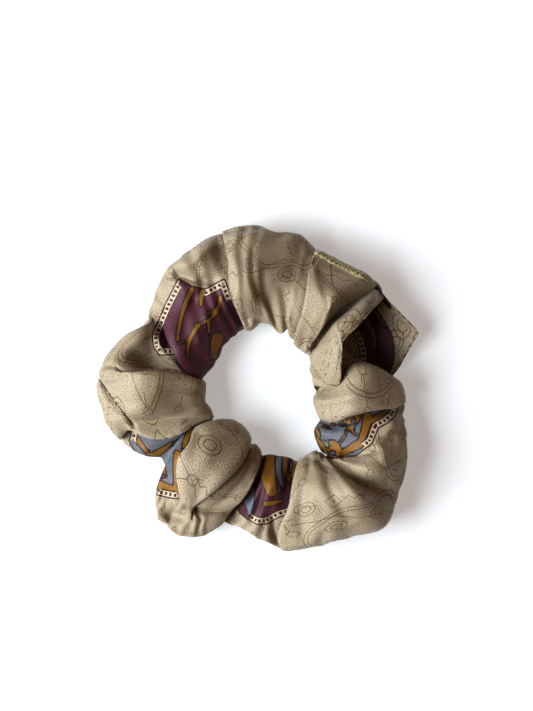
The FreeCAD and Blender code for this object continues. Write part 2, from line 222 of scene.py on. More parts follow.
# Creases pressed into the cloth: from one station to another, their half width, how deep they are at each
# end (up where negative), and their path in plan
CREASES = [
    ("cuff_hem", "cuff_crest", [
        (1.2, -1, -0.6, [(18.5, 12), (24, 15), (28, 17)]),
        (1.6, 0.8, 1.6, [(39.5, 33), (31, 27.5), (25, 21.5), (19.5, 14)]),
    ]),
    ("cuff_crest", "c_edge", [
        (1, -1.2, -1.2, [(21, 45), (29.5, 40.5), (38, 35.5)]),
        (0.9, 2.5, 0.5, [(17.5, 14), (19.5, 18.5), (21.5, 22.5)]),
    ]),
    ("c_edge", "a_valley", [
        (1.6, -0.9, -0.3, [(13, 20.5), (14.5, 27.5), (16, 34.5)]),
    ]),
    ("b_crown", "a_crown", [
        (1.6, 0.3, 2.4, [(1.5, 39), (2, 31), (4.5, 24.5), (7, 19.5)]),
    ]),
    ("a_valley", "a_left_edge", [
        (1.5, 1.8, 1.8, [(-5, 22.5), (-2.5, 23.5), (0, 22.5)]),
    ]),
    ("b_crown", "a_left_edge", [
        (0.9, 1.6, 1.6, [(-10.5, 52), (-5, 52.5), (0, 53)]),
    ]),
    ("a_crown", "a_left_edge", [
        (0.8, -1.5, -0.3, [(-12, 50.5), (-10, 45.5), (-8.5, 41.5)]),
        (2, 0.9, 0.5, [(-7, 47.5), (-6.5, 42.5), (-6, 36)]),
    ]),
    ("a_left_edge", "j_edge", [
        (2.2, -2.3, -1.8, [(-29, 40.5), (-22.5, 42.5), (-17.5, 46), (-12.5, 49.5)]),
        (1.5, 3.0, 2.8, [(-27, 38), (-21, 36), (-15, 36)]),
        (2.2, -0.9, -0.6, [(-14.5, 30), (-17.5, 23.5), (-19.5, 14.5)]),
        (2, 1, 0.6, [(-20.5, 31), (-23.5, 23.5), (-25, 16)]),
    ]),
    ("l_top_edge", "l_lip_edge", [
        (0.7, 1.3, 1.3, [(-53.5, 3), (-49, -3), (-44.5, -8), (-41, -13.5)]),
        (3, 0.7, 0.3, [(-52, -2), (-49, -8.5), (-44.5, -15)]),
        (3.5, 1.5, 0.8, [(-49, 0), (-45.5, -3)]),
        (2.4, 1.2, 1.6, [(-39.5, -10.5), (-33, -9.5), (-25.5, -9.5), (-17.5, -10.5)]),
        (2.6, -0.8, -0.4, [(-43.5, -5.5), (-33, -5), (-22.5, -5)]),
    ]),
    ("i_left_edge", "i_right_edge", [
        (1.5, -1.2, -0.6, [(-22.5, -14), (-22.5, -18.5), (-25, -22.5)]),
        (2, 1.4, 0.4, [(-19.5, -15.5), (-20.5, -21.5), (-23, -26.5)]),
        (1.6, 0.3, 1.2, [(-16, -29), (-18.5, -34.5), (-21, -39.5)]),
    ]),
    ("k_strip", "i_second", [
        (2.2, 2.6, 2.6, [(-29.5, -43.5), (-26, -43)]),
    ]),
    ("i_right_edge", "i_second_edge", [
        (1.8, 0.9, 0.4, [(-4.5, -21.5), (-8.5, -28), (-14.5, -32.5)]),
    ]),
    ("i_second_edge", "g_left_edge", [
        (1.6, 0.9, 0.9, [(1.5, -25), (1.5, -33), (0, -40.5)]),
    ]),
    ("h_left", "g_left_edge", [
        (1.1, 1.4, 0.8, [(5, -44), (5, -48.5), (7, -53)]),
    ]),
    ("g_left_edge", "g_middle", [
        (1.4, -0.9, -0.6, [(10.5, -38), (9, -45.5), (8, -51.5)]),
    ]),
    ("g_left_edge", "g_crown", [
        (2.5, 1.2, 0.9, [(14.5, -34), (15, -42), (16.5, -49.5)]),
    ]),
    ("g_left", "g_upper", [
        (1.8, 1.7, 0.2, [(21.5, -25), (23.5, -32.5), (27, -39.5), (32, -44)]),
        (1.6, -1.2, -0.2, [(21.5, -23), (26, -28), (31, -33), (36.5, -37)]),
        (1.2, 2.4, 0.4, [(23, -22.5), (29.5, -27), (34.5, -31), (42, -35)]),
    ]),
    ("g_crease", "d_edge", [
        (0.8, 1.8, 0.8, [(29, -22.5), (34, -22.5), (41, -21)]),
        (1.5, -1.2, -0.6, [(45.5, -12.5), (40.5, -18.5), (43.5, -26)]),
        (2, 1.2, 0.8, [(39.5, -16.5), (46.5, -14.5)]),
    ]),
    ("e_lower", "d_edge", [
        (1, 1.6, 1.2, [(26.5, -12.5), (29, -12.5), (32, -13.5)]),
    ]),
    ("d_edge", "tuck_first", [
        (2, 0.7, 0.5, [(21.5, -3.5), (28, -1.5), (32, 1)]),
    ]),
    ("c_edge", "a_crown", [
        (1.0, 1.6, 0.4, [(9.5, 19.5), (9.5, 26), (8.5, 33)]),
        (1.1, -1.1, -0.3, [(7.5, 20.5), (7, 26.5), (6, 33)]),
    ]),
    ("a_crown", "a_left_edge", [
        (1.0, 1.5, 0.3, [(-3, 21.5), (-4.5, 27.5), (-5.5, 34)]),
    ]),
    ("cuff_crest", "c_edge", [
        (0.8, 1.8, 0.3, [(15.5, 14), (17, 20), (18.5, 27)]),
        (0.9, -1.2, -0.3, [(16.5, 13.5), (18.3, 19.5), (20, 26)]),
    ]),
    ("g_left_edge", "g_crown", [
        (1.3, 1.3, 0.3, [(18, -24), (18.5, -31), (19.5, -39)]),
    ]),
    ("d_edge", "tuck_first", [
        (1.1, 1.2, 0.4, [(21, -7), (28, -6), (35, -5)]),
        (1.2, -0.8, -0.3, [(22, -5), (29, -3.5), (36, -3)]),
    ]),
    ("l_top_edge", "l_lip_edge", [
        (1.1, 1.3, 0.3, [(-18, -1), (-25, -0.5), (-32, -0.5)]),
        (1.1, -0.8, -0.2, [(-18, 0.8), (-25, 1.5), (-32, 1.5)]),
    ]),
    ("k_strip", "i_second_edge", [
        (1.3, 2.2, 2.2, [(-25.5, -37), (-23.8, -40), (-17.7, -41.6), (-10.6, -42), (-6, -40)]),
    ]),
]


def through(knots, values, at):
    """A smooth curve through values at knots, read at other places along it."""
    knots, values = np.asarray(knots, float), np.asarray(values, float)
    slopes = np.gradient(values, knots, axis=0)
    i = np.clip(np.searchsorted(knots, at, side="right") - 1, 0, len(knots) - 2)
    gap = knots[i + 1] - knots[i]
    t = (at - knots[i]) / gap
    shape = (-1,) + (1,) * (values.ndim - 1)
    t, gap = t.reshape(shape), gap.reshape(shape)
    from_start = (1 + 2 * t) * (1 - t) ** 2 * values[i] + t * (1 - t) ** 2 * gap * slopes[i]
    from_end = t * t * (3 - 2 * t) * values[i + 1] + t * t * (t - 1) * gap * slopes[i + 1]
    return from_start + from_end


def shares(points, axes=2):
    """How far along its plan, or with three axes its whole length, each point of a path is, from 0 to 1."""
    steps = np.linalg.norm(np.diff(points[:, :axes], axis=0), axis=1)
    return np.concatenate([[0], np.cumsum(steps)]) / steps.sum()


def eased(count):
    """Turns from 0 to pi, and how far across from 0 to 1 they come, bunched at both ends."""
    turn = np.linspace(0, math.pi, count)
    return turn, (1 - np.cos(turn)) / 2


def free_path(points, count):
    """A smooth path through points in space."""
    points = np.array(points, float)
    return through(shares(points, 3), points, eased(count)[1])


def top_path(points):
    """A section's top: it stands up at the silhouettes and follows the points' heights between them."""
    points = np.array(points, float)
    along = shares(points)
    turn, across = eased(TOP_POINTS)
    plan = through(along, points[:, :2], across)
    heights = points[1:-1, 2]
    knots = np.concatenate([[-0.1], along[1:-1], [1.1]])
    crest = through(knots, np.concatenate([heights[:1], heights, heights[-1:]]), across)
    side = points[0, 2] + (points[-1, 2] - points[0, 2]) * across
    return np.column_stack([plan, side + (crest - side) * np.sin(turn) ** 0.7])


def under_path(points, floor):
    """A section's underside, from the inner silhouette to the outer one: it lies flat on the floor."""
    inner, outer = np.array(points[-1], float), np.array(points[0], float)
    turn, across = eased(UNDER_POINTS)
    path = inner + (outer - inner) * across[:, None]
    drop = np.clip(1.0 - 1.15 * np.sin(turn) ** 0.8, 0, 1) ** 1.3
    path[:, 2] = floor + FLOOR_GAP + (path[:, 2] - floor - FLOOR_GAP) * drop
    return path


def closed(top, under):
    """One loop of the tube, from the outer silhouette over the top and back underneath."""
    return np.vstack([top, under[1:-1]])


def lap_shares(outer, inner):
    """How much of a lap happens at each point of a loop."""
    top_turn, top_across = eased(TOP_POINTS)
    under_turn = eased(UNDER_POINTS)[0]
    side = outer + (inner - outer) * (1 - np.cos(top_turn)) / 2
    top = side + (1 - side) * np.sin(top_turn) ** 0.5
    top[side == 0] = 0
    if min(outer, inner) == 0:
        fade = top_across if outer == 0 else (1 + np.cos(top_turn)) / 2
        top = top * np.clip(fade * 3.5 - 0.5, 0, 1)
    under_side = inner + (outer - inner) * (1 - np.cos(under_turn)) / 2
    under = under_side * np.clip(1 - 1.6 * np.sin(under_turn), 0, 1)
    return np.concatenate([top, under[1:-1]])


def folded(loop, lap, puff, floor):
    """The loops of a fold at a puff's edge, in the order that the cloth runs."""
    back, gap, outer, inner = lap
    chord = loop[TOP_POINTS - 1, :2] - loop[0, :2]
    ahead = np.array([chord[1], -chord[0], 0.0])
    ahead /= np.linalg.norm(ahead)
    if puff == "after":
        ahead = -ahead
    share = lap_shares(outer, inner)[:, None]
    down = np.array([0.0, 0.0, -1.0])
    middle = (loop[0] + loop[TOP_POINTS - 1]) / 2
    inward = (middle - loop) * np.array([0.06, 0.06, 0])
    turned = loop + share * (inward - back * ahead + gap * down)
    under = loop + share * (inward - 0.9 * back * ahead + (gap + 1.8) * down)
    clear = loop + share * (inward + 0.8 * ahead + (gap + 1.2) * down)
    loops = [loop, turned, under, clear]
    for each in loops[1:]:
        each[:, 2] = np.maximum(each[:, 2], floor + FLOOR_GAP)
    return loops if puff == "before" else loops[::-1]


def sleeve_loops():
    """Every loop of the sleeve in order, with the name of the station it belongs to."""
    loops, names = [], []
    for name, (top, under) in (("cuff_hem", CUFF_HEM), ("cuff_neck", CUFF_NECK)):
        loops.append(closed(free_path(top, TOP_POINTS), free_path(under, UNDER_POINTS)))
        names.append(name)
    for name, (fold, floor, points) in STATIONS.items():
        loop = closed(top_path(points), under_path(points, floor))
        made = folded(loop, *fold, floor) if fold else [loop]
        loops += made
        names += [name] * len(made)
    return np.array(loops), names


def crease(grid, row_of):
    """Press the creases into the top of the cloth, and ruffle it finely across the ring."""
    for first, last, half_width, deep_start, deep_end, path in (
        (*ends, *each) for *ends, creases in CREASES for each in creases
    ):
        part = grid[row_of[first]:row_of[last] + 1, :TOP_POINTS]
        distance, along, _ = nearest_on_path(part[..., :2].reshape(-1, 2), path)
        share = along / max(along.max(), 1.0)
        deep = deep_start + (deep_end - deep_start) * share
        part[..., 2] -= (deep * np.exp(-(distance / half_width) ** 2)).reshape(part.shape[:2])
    chance = np.random.default_rng(GATHER_SEED)
    row = np.arange(grid.shape[0])[:, None]
    across = np.linspace(0, 1, TOP_POINTS)[None, :]
    ruffle = sum(
        np.sin(row * ALONG_STEP * 2 * math.pi / length + chance.uniform(0, 6.3) + lean * across)
        for length, lean in GATHER_WAVES
    )
    uneven = GATHER * ruffle * (0.35 + 1.3 * np.abs(across - 0.5))
    grid[:, :TOP_POINTS, 2] += uneven * np.sin(across * math.pi) ** 0.5


def spread_rows(grid, first_row, last_row):
    """Where a fold's lap fades out, its rows lie on each other: spread them over the cloth beside it."""
    order = list(STATIONS)
    for name, (fold, _, _) in STATIONS.items():
        if not fold:
            continue
        start = last_row[order[order.index(name) - 1]]
        end = first_row[order[order.index(name) + 1]]
        lap = fold[0]
        weight = 1 - np.clip(lap_shares(lap[2], lap[3]) * 2.2, 0, 1)
        for column in np.flatnonzero(weight):
            run = grid[start:end + 1, column]
            walked = np.concatenate([[0], np.cumsum(np.linalg.norm(np.diff(run, axis=0), axis=1) + 1e-6)])
            evenly = np.linspace(0, walked[-1], len(run))
            even = np.column_stack([np.interp(evenly, walked, run[:, axis]) for axis in range(3)])
            grid[start:end + 1, column] += weight[column] * (even - run)


def sleeve_grid():
    """The sleeve's rows of points, and the row of each station."""
    loops, names = sleeve_loops()
    spacing = np.linalg.norm(np.diff(loops, axis=0), axis=2).mean(axis=1)
    knots = np.concatenate([[0], np.cumsum(spacing)])
    rows = [0.0]
    for start, length in zip(knots, spacing):
        count = max(2, round(length / ALONG_STEP))
        rows += [start + length * (i + 1) / count for i in range(count)]
    grid = through(knots, loops, np.array(rows))
    row_at = [int(np.searchsorted(rows, knot - 1e-6)) for knot in knots]
    last_row = dict(zip(names, row_at))
    first_row = dict(zip(reversed(names), reversed(row_at)))
    spread_rows(grid, first_row, last_row)
    crease(grid, last_row)
    return grid, last_row


def tube_faces(rows, columns):
    """The faces between rows of points that each go round a tube."""
    faces = []
    for r in range(rows - 1):
        for c in range(columns):
            d = (c + 1) % columns
            faces.append((r * columns + c, (r + 1) * columns + c, (r + 1) * columns + d, r * columns + d))
    return faces


def grid_mesh(name, grid):
    """A tube's mesh from its rows of points, open at both ends, with the cloth's own coordinates in mm."""
    rows, columns = grid.shape[:2]
    mesh = bpy.data.meshes.new(name)
    mesh.from_pydata((grid.reshape(-1, 3) * MM).tolist(), [], tube_faces(rows, columns))
    steps = np.linalg.norm(np.diff(grid, axis=0), axis=2).mean(axis=1)
    along = np.concatenate([[0], np.cumsum(steps)])
    uv = mesh.uv_layers.new(name="cloth")
    values = []
    for r in range(rows - 1):
        for c in range(columns):
            left, right = c / columns * CUT_WIDTH, (c + 1) / columns * CUT_WIDTH
            values += [along[r], left, along[r + 1], left, along[r + 1], right, along[r], right]
    uv.data.foreach_set("uv", values)
    mesh.shade_smooth()
    return mesh


# The print. A patch has the rows it lies on, its outline in plan (closed), the outline's sides that carry the
# dotted border, its ground, and the strokes drawn on it: half the width, start, heading in degrees, length,
# how far the stroke turns on its way, and how many twigs grow from it. The black strokes are not print but
# painted shade: marks in a hollow and along creases, where shade falls
PLUM, STEEL = 0.0, 1.0
BRANCHES = [
    (0.65, (-22, 33), 240, 18, 25, 0),
    (0.7, (-18.5, 32.5), 265, 5, 0, 0),
    (0.65, (-12.5, 30), 275, 13, -80, 2),
    (0.6, (-20, 20.5), 225, 11, 45, 1),
    (1.7, (-13.5, 16.5), 245, 6, 20, 0),
]
PATCHES = [
    {
        "rows": ("a_left_edge", "j_edge"), "side": "top", "ground": PLUM, "bordered": (0, 1, 6, 7),
        "outline": [(-26.5, 36.5), (-31, 28), (-35.5, 17.5), (-36, -4), (-6, -4), (-2.5, 19.5), (-8.5, 29.5),
            (-11, 36.5), (-17.5, 33), (-22, 34)],
        "gold": BRANCHES,
    },
    {
        "rows": ("j_edge", "hollow_right"), "side": "top", "ground": PLUM, "bordered": (0, 1, 2, 3, 4, 5),
        "outline": [(-29.5, 34.5), (-32.5, 26), (-35.5, 17.5), (-35, 13.5), (-33, 11), (-29.5, 11),
            (-19.5, 12), (-14.5, 19.5), (-14.5, 34.5)],
        "gold": BRANCHES,
    },
    {
        "rows": ("l_lip_edge", "i_left_edge"), "side": "top", "ground": STEEL, "bordered": (0, 6, 7),
        "outline": [(-43.5, -18.5), (-42.5, -14.5), (-41.5, -11.5), (-36, -11.5), (-17.5, -9.5),
            (-24, -24.5), (-25, -37.5), (-30, -37), (-34.5, -36), (-36, -28), (-39.5, -24.5)],
        "gold": [(0.8, (-41, -17), 305, 7, 5, 0), (0.9, (-34.5, -22.5), 30, 7, 5, 0), (0.75, (-22.5, -14.5),
            235, 9, 35, 0), (0.75, (-27, -22), 265, 12, 5, 0), (1.3, (-32.5, -33), 345, 6, 0, 0), (0.6,
            (-32, -26), 290, 3, 0, 0)],
        # painted shade: a black line in the crease between the K puffs
        "painted_shade": [(0.5, (-32, -22.5), 45, 10, 0, 0)],
        "plum": [(0.6, (-32.5, -30), 10, 2, 0, 0)],
    },
    {
        "rows": ("i_second_edge", "g_left_edge"), "side": "top", "ground": PLUM, "bordered": (2, 3, 4, 5, 6),
        "outline": [(-7, -39.5), (-6, -42.5), (-3, -44.5), (-0.5, -46), (3, -46), (5, -45), (7.5, -43.5),
            (11.5, -42.5), (15.5, -38), (16.5, -17.5), (-7, -17.5), (-10, -34.5)],
        "gold": [(2.8, (2.5, -23), 275, 12, 10, 0), (0.8, (9.5, -23), 255, 9, 40, 0), (0.8, (3, -39), 10, 5,
            0, 0), (0.7, (13, -25), 255, 5, 0, 0)],
        "steel": [(0.9, (7.5, -23.5), 250, 10, 45, 0), (0.7, (12.5, -25), 235, 7, 60, 0), (1.0, (-2, -34.5),
            268, 8, -5, 0), (0.6, (-4, -38), 290, 4.5, 0, 0)],
    },
    {
        "rows": ("g_crease", "d_edge"), "side": "top", "ground": STEEL, "bordered": (0, 1, 2, 3, 4, 5),
        "outline": [(47.5, -6.5), (46.5, -9.5), (43.5, -12), (40.5, -13.5), (39.5, -16), (38.5, -18.5),
            (36, -20.5), (33, -23), (24.5, -24), (17, -21.5), (16.5, -14.5), (21, -10.5), (29.5, -5),
            (47.5, -3)],
        "gold": [(1.2, (46.5, -8), 190, 10, 20, 0), (1.3, (37, -10), 262, 9, -15, 0), (0.45, (32, -8.5), 315,
            3, 0, 0), (0.45, (28, -10), 330, 2.5, 0, 0), (0.4, (25.5, -11.5), 310, 9, 130, 0), (0.5,
            (20, -14.5), 355, 9, -300, 0), (0.8, (25, -18.5), 10, 13, -250, 0), (0.6, (21, -18.5), 315, 6,
            -30, 0), (0.4, (21, -12.5), 340, 4, 0, 0), (0.5, (31, -10.5), 250, 6, 70, 0), (0.45, (34, -9.5),
            265, 7, -60, 0), (0.5, (24, -21), 20, 8, 40, 0), (1.2, (34, -19), 205, 8, 10, 0)],
        # painted shade: black marks in a hollow and along creases
        "painted_shade": [(0.8, (28.5, -12.6), 0, 3, 0, 0), (0.45, (21.5, -18), 10, 8, -20, 0), (0.5, (33, -12), 250,
            4, 30, 0)],
    },
    {
        "rows": ("cuff_hem", "cuff_valley"), "side": "under", "ground": PLUM, "bordered": (0, 1, 2),
        "outline": [(31.5, 20.5), (34, 16), (35, 12), (35, 2.5), (45, 4.5), (46.5, 9.5), (46.5, 14.5),
            (45.5, 18.5), (42.5, 23.5), (39.5, 28)],
        "gold": [(1.0, (40, 26.5), 300, 7, 10, 0)],
        "steel": [(0.75, (36.5, 23.5), 315, 15, -55, 0)],
    },
]
# Dark lines on the cream: the rows they lie on, half the width, and the path in plan. The first is a printed
# line along the L puff's fold together with painted shade of its crease; the second is a printed border; the
# third is a dark line at the cuff's edge
LINES = [
    ("l_top_edge", "l_lip_edge", 0.2, [(-53, 2.5), (-49, -3), (-45, -8), (-41.5, -13)]),
    ("l_lip_edge", "k_valley", 0.25, [(-44, -18), (-43, -14.5), (-42, -12)]),
    ("cuff_hem", "cuff_valley", 0.5, [(36.5, 37), (40, 34), (42, 31), (45, 27)]),
]


def nearest_on_path(places, path, is_closed=False):
    """For each place: its distance to a path, how far along that is, and the path's side that it is."""
    path = np.array(path, float)
    ends = np.roll(path, -1, axis=0) if is_closed else path[1:]
    best = np.full(len(places), FAR)
    along, side = np.zeros(len(places)), np.zeros(len(places), int)
    walked = 0.0
    for i, (a, b) in enumerate(zip(path, ends)):
        run = b - a
        length = np.linalg.norm(run)
        t = np.clip((places - a) @ run / length ** 2, 0, 1)
        distance = np.linalg.norm(places - a - t[:, None] * run, axis=1)
        closer = distance < best
        best[closer] = distance[closer]
        along[closer] = walked + t[closer] * length
        side[closer] = i
        walked += length
    return best, along, side


def inside(places, outline):
    """Whether each place is inside a closed outline."""
    outline = np.array(outline, float)
    odd = np.zeros(len(places), bool)
    for (ax, ay), (bx, by) in zip(outline, np.roll(outline, -1, axis=0)):
        crosses = (ay > places[:, 1]) != (by > places[:, 1])
        x = ax + (places[:, 1] - ay) * (bx - ax) / (by - ay if by != ay else 1.0)
        odd ^= crosses & (places[:, 0] < x)
    return odd


def strokes(half_width, start, heading, length, bend, twigs):
    """A drawn stroke as half widths and paths: an even curve, and short twigs on alternate sides of it."""
    steps = 6
    place, turn = np.array(start, float), math.radians(heading)
    path, turns = [place], [turn]
    for _ in range(steps):
        turn += math.radians(bend) / steps
        place = place + length / steps * np.array([math.cos(turn), math.sin(turn)])
        path.append(place)
        turns.append(turn)
    drawn = [(half_width, path)]
    for twig in range(twigs):
        at = round(steps * (twig + 1) / (twigs + 1))
        lean = turns[at] + (0.9 if twig % 2 else -0.9)
        tip = path[at] + 0.35 * length * np.array([math.cos(lean), math.sin(lean)])
        drawn.append((0.7 * half_width, [path[at], tip]))
    return drawn


def print_fields(grid, row_of):
    """The fields of the print and its painted shade on the grid: distances in mm to the patches' outlines and
    strokes.
    """
    shape = grid.shape[:2]
    fields = {name: np.full(shape, -FAR) for name in ("patch", "gold", "steel", "painted_shade", "plum")}
    fields |= {name: np.zeros(shape) for name in ("border", "along", "ground")}
    fields["line"] = np.full(shape, -FAR)
    for start, end, half_width, path in LINES:
        part = grid[row_of[start]:row_of[end] + 1]
        off = nearest_on_path(part[..., :2].reshape(-1, 2), path)[0].reshape(part.shape[:2])
        line = fields["line"][row_of[start]:row_of[end] + 1]
        np.maximum(line, half_width - off, out=line)
    for patch in PATCHES:
        first, last = row_of[patch["rows"][0]], row_of[patch["rows"][1]]
        part = np.zeros(shape, bool)
        if patch["side"] == "top":
            part[first:last + 1, :TOP_POINTS + 4] = True
            part[first:last + 1, -4:] = True
        else:
            part[first:last + 1, TOP_POINTS - 6:] = True
        places = grid[part][:, :2]
        distance, along, side = nearest_on_path(places, patch["outline"], is_closed=True)
        signed = np.where(inside(places, patch["outline"]), distance, -distance)
        fields["patch"][part] = signed
        fields["along"][part] = along
        fields["border"][part] = np.isin(side, patch["bordered"]) * 1.0
        fields["ground"][part] = patch["ground"]
        # the black strokes are painted shade, the others print
        for ink in ("gold", "steel", "painted_shade", "plum"):
            for half_width, path in (each for stroke in patch.get(ink, []) for each in strokes(*stroke)):
                off, walked, _ = nearest_on_path(places, path)
                taper = 1.15 - 0.55 * walked / max(walked.max(), 1.0)
                fields[ink][part] = np.maximum(fields[ink][part], half_width * taper - off)
    return fields


def store_fields(mesh, fields):
    """Keep each field as a point attribute of the mesh."""
    for name, values in fields.items():
        attribute = mesh.attributes.new("print_" + name, "FLOAT", "POINT")
        attribute.data.foreach_set("value", values.astype(np.float32).ravel())


class Value:
    """A number that a material works out, with the usual arithmetic."""

    def __init__(self, graph, socket):
        self.graph, self.socket = graph, socket

    def __add__(self, other):
        return self.graph.math("ADD", self, other)

    def __sub__(self, other):
        return self.graph.math("SUBTRACT", self, other)

    def __rsub__(self, other):
        return self.graph.math("SUBTRACT", other, self)

    def __mul__(self, other):
        return self.graph.math("MULTIPLY", self, other)

    def __abs__(self):
        return self.graph.math("ABSOLUTE", self)


class Graph:
    """Short names for the nodes of a material."""

    def __init__(self, name):
        self.material = bpy.data.materials.new(name)
        self.material.use_nodes = True
        self.tree = self.material.node_tree
        self.shader = self.tree.nodes["Principled BSDF"]

    def node(self, kind, settings=(), **inputs):
        node = self.tree.nodes.new(kind)
        for key, value in dict(settings).items():
            setattr(node, key, value)
        for key, value in inputs.items():
            self.feed(node.inputs[key.replace("_", " ")], value)
        return node

    def feed(self, socket, value):
        if isinstance(value, Value):
            value = value.socket
        if isinstance(value, bpy.types.NodeSocket):
            self.tree.links.new(value, socket)
        else:
            socket.default_value = value

    def math(self, operation, *values):
        node = self.node("ShaderNodeMath", {"operation": operation})
        for socket, value in zip(node.inputs, values):
            self.feed(socket, value)
        return Value(self, node.outputs[0])

    def least(self, first, second):
        return self.math("MINIMUM", first, second)

    def most(self, first, second):
        return self.math("MAXIMUM", first, second)

    def vector(self, operation, *values):
        node = self.node("ShaderNodeVectorMath", {"operation": operation})
        for socket, value in zip(node.inputs, values):
            self.feed(socket, value)
        return Value(self, node.outputs["Value"]) if operation == "LENGTH" else node.outputs["Vector"]

    def parts(self, vector):
        """A vector's three numbers."""
        return [Value(self, each) for each in self.node("ShaderNodeSeparateXYZ", Vector=vector).outputs]

    def field(self, name):
        return Value(self, self.node("ShaderNodeAttribute", {"attribute_name": name}).outputs["Fac"])

    def step(self, value, low, high):
        """0 below low, 1 above high, smooth between."""
        node = self.node("ShaderNodeMapRange", {"interpolation_type": "SMOOTHSTEP", "clamp": True})
        for socket, each in zip(node.inputs[:3], (value, low, high)):
            self.feed(socket, each)
        return Value(self, node.outputs[0])

    def line(self, distance, half_width, soft=0.08):
        """1 on a line of some half width, where distance is measured from its middle."""
        return self.step(abs(distance), half_width + soft, half_width - soft)

    def mix(self, share, first, second):
        node = self.node("ShaderNodeMix", {"data_type": "RGBA"})
        self.feed(node.inputs["Factor"], share)
        self.feed(node.inputs["A"], first)
        self.feed(node.inputs["B"], second)
        return node.outputs["Result"]

    def noise(self, place, scale, detail=2.0):
        noise = self.node("ShaderNodeTexNoise", Vector=place, Scale=scale, Detail=detail)
        return Value(self, noise.outputs["Fac"])

    def wave(self, place, direction, scale, distortion, **more):
        wave = self.node("ShaderNodeTexWave", {"bands_direction": direction}, Vector=place, Scale=scale,
                         Distortion=distortion, **more)
        return Value(self, wave.outputs["Fac"])

    def finish(self, tone, height, strength, deep, **surface):
        """Set the shader's colour, bump and other values, and give the material."""
        self.feed(self.shader.inputs["Base Color"], tone)
        bump = self.node("ShaderNodeBump", Height=height, Strength=strength, Distance=deep)
        self.feed(self.shader.inputs["Normal"], bump.outputs[0])
        for name, value in surface.items():
            self.shader.inputs[name.replace("_", " ")].default_value = value
        return self.material


def tile(graph, place, size):
    """A square tiling of the cloth: each tile's own turned coordinates and three chance numbers."""
    scaled = graph.vector("DIVIDE", place, (size, size, 1))
    cell = graph.vector("FLOOR", scaled)
    chance = graph.node("ShaderNodeTexWhiteNoise", {"noise_dimensions": "3D"}, Vector=cell)
    numbers = graph.parts(chance.outputs["Color"])
    local = graph.vector("SUBTRACT", graph.vector("FRACTION", scaled), (0.5, 0.5, 0))
    local = graph.vector("MULTIPLY", local, (size, size, 0))
    turned = graph.node("ShaderNodeVectorRotate", {"rotation_type": "Z_AXIS"}, Vector=local,
                        Angle=numbers[0] * 6.283)
    return turned.outputs[0], numbers


def small_motifs(graph, place, size, shift):
    """The distance to small outlines: rings on stems, squares with a dot, double rings, steps, chevrons."""
    local, numbers = tile(graph, graph.vector("ADD", place, shift), size)
    x, y, _ = graph.parts(local)
    radius = graph.vector("LENGTH", local)
    ring_on_stem = graph.least(abs(radius - 1.4), graph.most(abs(y), abs(x - 3.3) - 1.9))
    square = abs(graph.most(abs(x), abs(y)) - 1.8)
    square = graph.least(square, graph.most(radius - 0.25, 0.0))
    double = abs(abs(radius - 1.9) - 0.6)
    wave = graph.math("PINGPONG", x, 1.5)
    stepped = abs(graph.math("ROUND", graph.math("DIVIDE", wave, 1.5)) * 1.9 - y - 0.95)
    chevron = abs((wave - y) * 0.71 - 0.4)
    reach = abs(x) - 0.44 * size
    chosen = ring_on_stem
    for limit, motif in ((0.3, square), (0.5, double), (0.68, graph.most(stepped, reach)),
                         (0.84, graph.most(chevron, reach))):
        past = graph.math("GREATER_THAN", numbers[1], limit)
        chosen = past * motif + (1.0 - past) * chosen
    return chosen


def long_lines(graph, place):
    """Pairs of long arcs and single slanting lines between the motifs: the distance to them."""
    local, numbers = tile(graph, place, 33.0)
    radius = graph.vector("LENGTH", graph.vector("ADD", local, (6.0, -3.0, 0)))
    pair = abs(abs(radius - graph.math("MULTIPLY_ADD", numbers[2], 5.0, 8.0)) - 0.6)
    across, up, _ = graph.parts(tile(graph, graph.vector("ADD", place, (9.0, 14.0, 0)), 23.0)[0])
    return graph.least(pair, abs(up - abs(across) * 0.3))


def broad_part(moved):
    """The part of a movement that is wider than a wrinkle."""
    broad = moved.copy()
    for _ in range(WRINKLE_PASSES):
        broad[1:-1] = (broad[:-2] + 2 * broad[1:-1] + broad[2:]) / 4
        broad = (np.roll(broad, 1, axis=1) + 2 * broad + np.roll(broad, -1, axis=1)) / 4
    return broad


def relax_as_cloth(grid):
    """Let a copy of the sleeve settle as cloth a little too big for its shape, so that it buckles into fine
    wrinkles. Every point is held softly, and only what is finer than a puff is kept."""
    rows, columns = grid.shape[:2]
    mesh = bpy.data.meshes.new("cloth")
    mesh.from_pydata((grid.reshape(-1, 3) * SIM_SCALE).tolist(), [], tube_faces(rows, columns))
    cloth = bpy.data.objects.new("cloth", mesh)
    bpy.context.scene.collection.objects.link(cloth)
    hold = cloth.vertex_groups.new(name="hold")
    across = np.arange(columns)
    held = np.full((rows, columns), SIM_HOLD)
    held[:, TOP_POINTS + 3:-3] = 1.0
    held[:2] = held[-3:] = 1.0
    for weight in np.unique(held):
        hold.add(np.flatnonzero(held.ravel() == weight).tolist(), float(weight), "REPLACE")
    modifier = cloth.modifiers.new("cloth", "CLOTH")
    settings = modifier.settings
    for name, value in SIM_CLOTH.items():
        setattr(settings, name, value)
    settings.vertex_group_mass = "hold"
    settings.pin_stiffness = 1.0
    settings.effector_weights.gravity = 0
    modifier.collision_settings.use_collision = False
    modifier.point_cache.frame_start, modifier.point_cache.frame_end = 1, SIM_FRAMES
    scene = bpy.context.scene
    for frame_number in range(1, SIM_FRAMES + 1):
        scene.frame_set(frame_number)
    settled = cloth.evaluated_get(bpy.context.evaluated_depsgraph_get()).to_mesh()
    places = np.empty(rows * columns * 3)
    settled.vertices.foreach_get("co", places)
    moved = places.reshape(grid.shape) / SIM_SCALE - grid
    moved -= broad_part(moved)
    far = np.linalg.norm(moved, axis=2, keepdims=True)
    moved *= np.minimum(1, SIM_CAP / np.maximum(far, 1e-9))
    bpy.data.objects.remove(cloth)
    bpy.data.meshes.remove(mesh)
    scene.frame_set(1)
    return grid + moved


